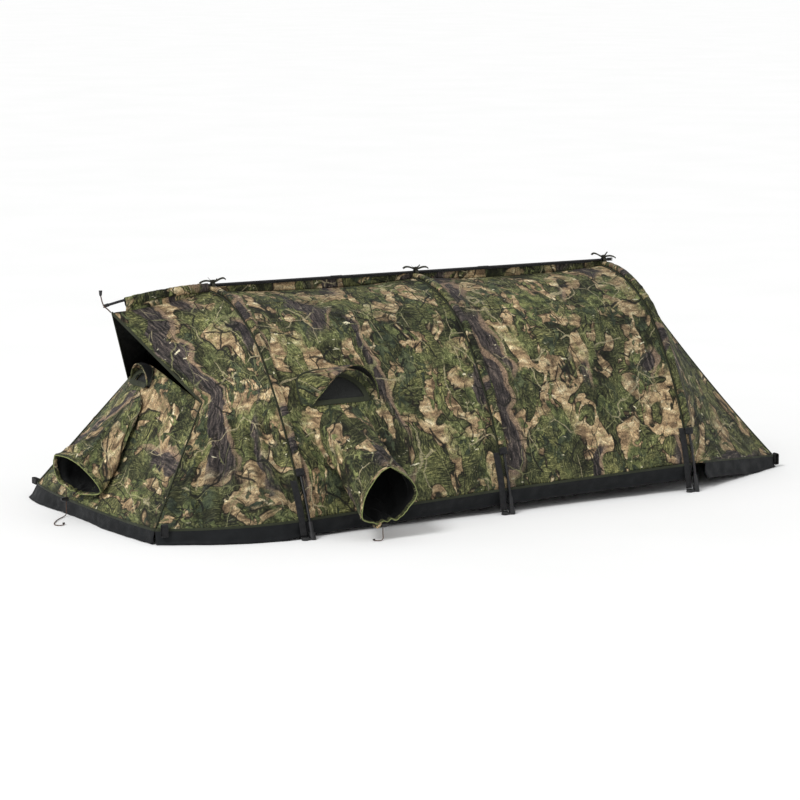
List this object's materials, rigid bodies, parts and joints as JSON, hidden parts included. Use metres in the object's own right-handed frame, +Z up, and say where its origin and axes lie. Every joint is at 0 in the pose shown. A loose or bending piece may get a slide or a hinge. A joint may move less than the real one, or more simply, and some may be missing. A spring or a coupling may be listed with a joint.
{
  "type": "low tunnel ground blind",
  "caption": "Low lie-down ground blind with hoop poles, a ridge pole, camouflage cloth skin, lens sleeves, hooded windows and a zipped crawl-in door",
  "frame": {"origin": "on the ground under the crown of the middle hoop", "axes": "+X to the tail, +Y to the far (door) side, -Y to the side with the side lens sleeve, +Z up"},
  "size_m": [2.6085, 1.5265, 0.7574],
  "materials": {
    "printed_cloth": "matt woven, forest print",
    "black_cloth": "matt coated weave",
    "black_webbing": "ribbed webbing",
    "black_cord": "braided",
    "black_mesh": "open net",
    "tie_ribbon": "soft ribbon",
    "pole_rod": "satin glass fibre",
    "ferrule_steel": "brushed",
    "black_plastic": "moulded",
    "black_zip": "coil zip"
  },
  "bodies": {
    "shelter": {"front_hoop_pole": "pole_rod", "middle_hoop_pole": "pole_rod", "rear_hoop_pole": "pole_rod", "front_hoop_ferrules": "ferrule_steel", "middle_hoop_ferrules": "ferrule_steel", "rear_hoop_ferrules": "ferrule_steel", "front_end_caps": "black_plastic", "middle_end_caps": "black_plastic", "rear_end_caps": "black_plastic", "front_foot_clips": "black_plastic", "middle_foot_clips": "black_plastic", "rear_foot_clips": "black_plastic", "foot_straps": "black_webbing", "front_hoop_sleeve": "printed_cloth", "middle_hoop_sleeve": "printed_cloth", "rear_hoop_sleeve": "printed_cloth", "ridge_pole": "pole_rod", "ridge_ferrules": "ferrule_steel", "ridge_pole_tips": "black_plastic", "ridge_sleeve": "printed_cloth", "ridge_welts": "printed_cloth", "near_front_bay": "printed_cloth", "far_front_bay": "printed_cloth", "near_rear_bay": "printed_cloth", "far_rear_bay": "printed_cloth", "near_canopy": "printed_cloth", "far_canopy": "printed_cloth", "front_panel": "printed_cloth", "near_tail_panel": "printed_cloth", "rear_tail_panel": "printed_cloth", "far_tail_panel": "printed_cloth", "front_skirt": "black_cloth", "near_skirt": "black_cloth", "far_skirt": "black_cloth", "tail_skirt": "black_cloth", "front_hood": "printed_cloth", "side_hood": "printed_cloth", "front_window_mesh": "black_mesh", "side_window_mesh": "black_mesh", "door_zips": "black_zip", "front_peg_loops": "black_webbing", "tail_peg_loops": "black_webbing", "hoop_ties": "tie_ribbon", "apex_cord": "black_cord", "apex_toggle": "black_plastic"},
    "front_sleeve": {"front_lens_sleeve": "printed_cloth", "front_sleeve_hem": "printed_cloth", "front_drawcord": "black_cord"},
    "front_lock": {"front_cord_lock": "black_plastic"},
    "front_button": {"front_lock_button": "black_plastic"},
    "side_sleeve": {"side_lens_sleeve": "printed_cloth", "side_sleeve_hem": "printed_cloth", "side_drawcord": "black_cord"},
    "side_lock": {"side_cord_lock": "black_plastic"},
    "side_button": {"side_lock_button": "black_plastic"},
    "door": {"door_flap": "printed_cloth"},
    "front_slider": {"front_zip_slider": "black_zip"},
    "rear_slider": {"rear_zip_slider": "black_zip"}
  },
  "joints": [
    {"name": "front_sleeve_tilt", "type": "hinge", "parent": "shelter", "child": "front_sleeve", "pos_m": [-1.03624, 0, 0.38906], "axis": [0, 1, 0], "range_deg": [0, 45]},
    {"name": "front_lock_slide", "type": "slide", "parent": "front_sleeve", "child": "front_lock", "axis": [0, 0, -1], "range_m": [0, 0.03]},
    {"name": "front_button_press", "type": "slide", "parent": "front_lock", "child": "front_button", "axis": [1, 0, 0], "range_m": [0, 0.003], "stiffness_N_per_m": 300, "springref_m": -0.002},
    {"name": "side_sleeve_tilt", "type": "hinge", "parent": "shelter", "child": "side_sleeve", "pos_m": [-0.545, -0.49666, 0.37246], "axis": [-1, 0, 0], "range_deg": [0, 24]},
    {"name": "side_lock_slide", "type": "slide", "parent": "side_sleeve", "child": "side_lock", "axis": [0, 0, -1], "range_m": [0, 0.02]},
    {"name": "side_button_press", "type": "slide", "parent": "side_lock", "child": "side_button", "axis": [-1, 0, 0], "range_m": [0, 0.003], "stiffness_N_per_m": 300, "springref_m": -0.002},
    {"name": "door_lift", "type": "hinge", "parent": "shelter", "child": "door", "pos_m": [0.37, 0.35305, 0.52], "axis": [0.9993, -0.0364, 0], "range_deg": [0, 120]},
    {"name": "front_zip_travel", "type": "hinge", "parent": "shelter", "child": "front_slider", "pos_m": [0.119, -0.51216, -0.22494], "axis": [1, 0, 0], "range_deg": [0, 22]},
    {"name": "rear_zip_travel", "type": "hinge", "parent": "shelter", "child": "rear_slider", "pos_m": [0.621, -0.52144, -0.1932], "axis": [1, 0, 0], "range_deg": [0, 22]}
  ]
}
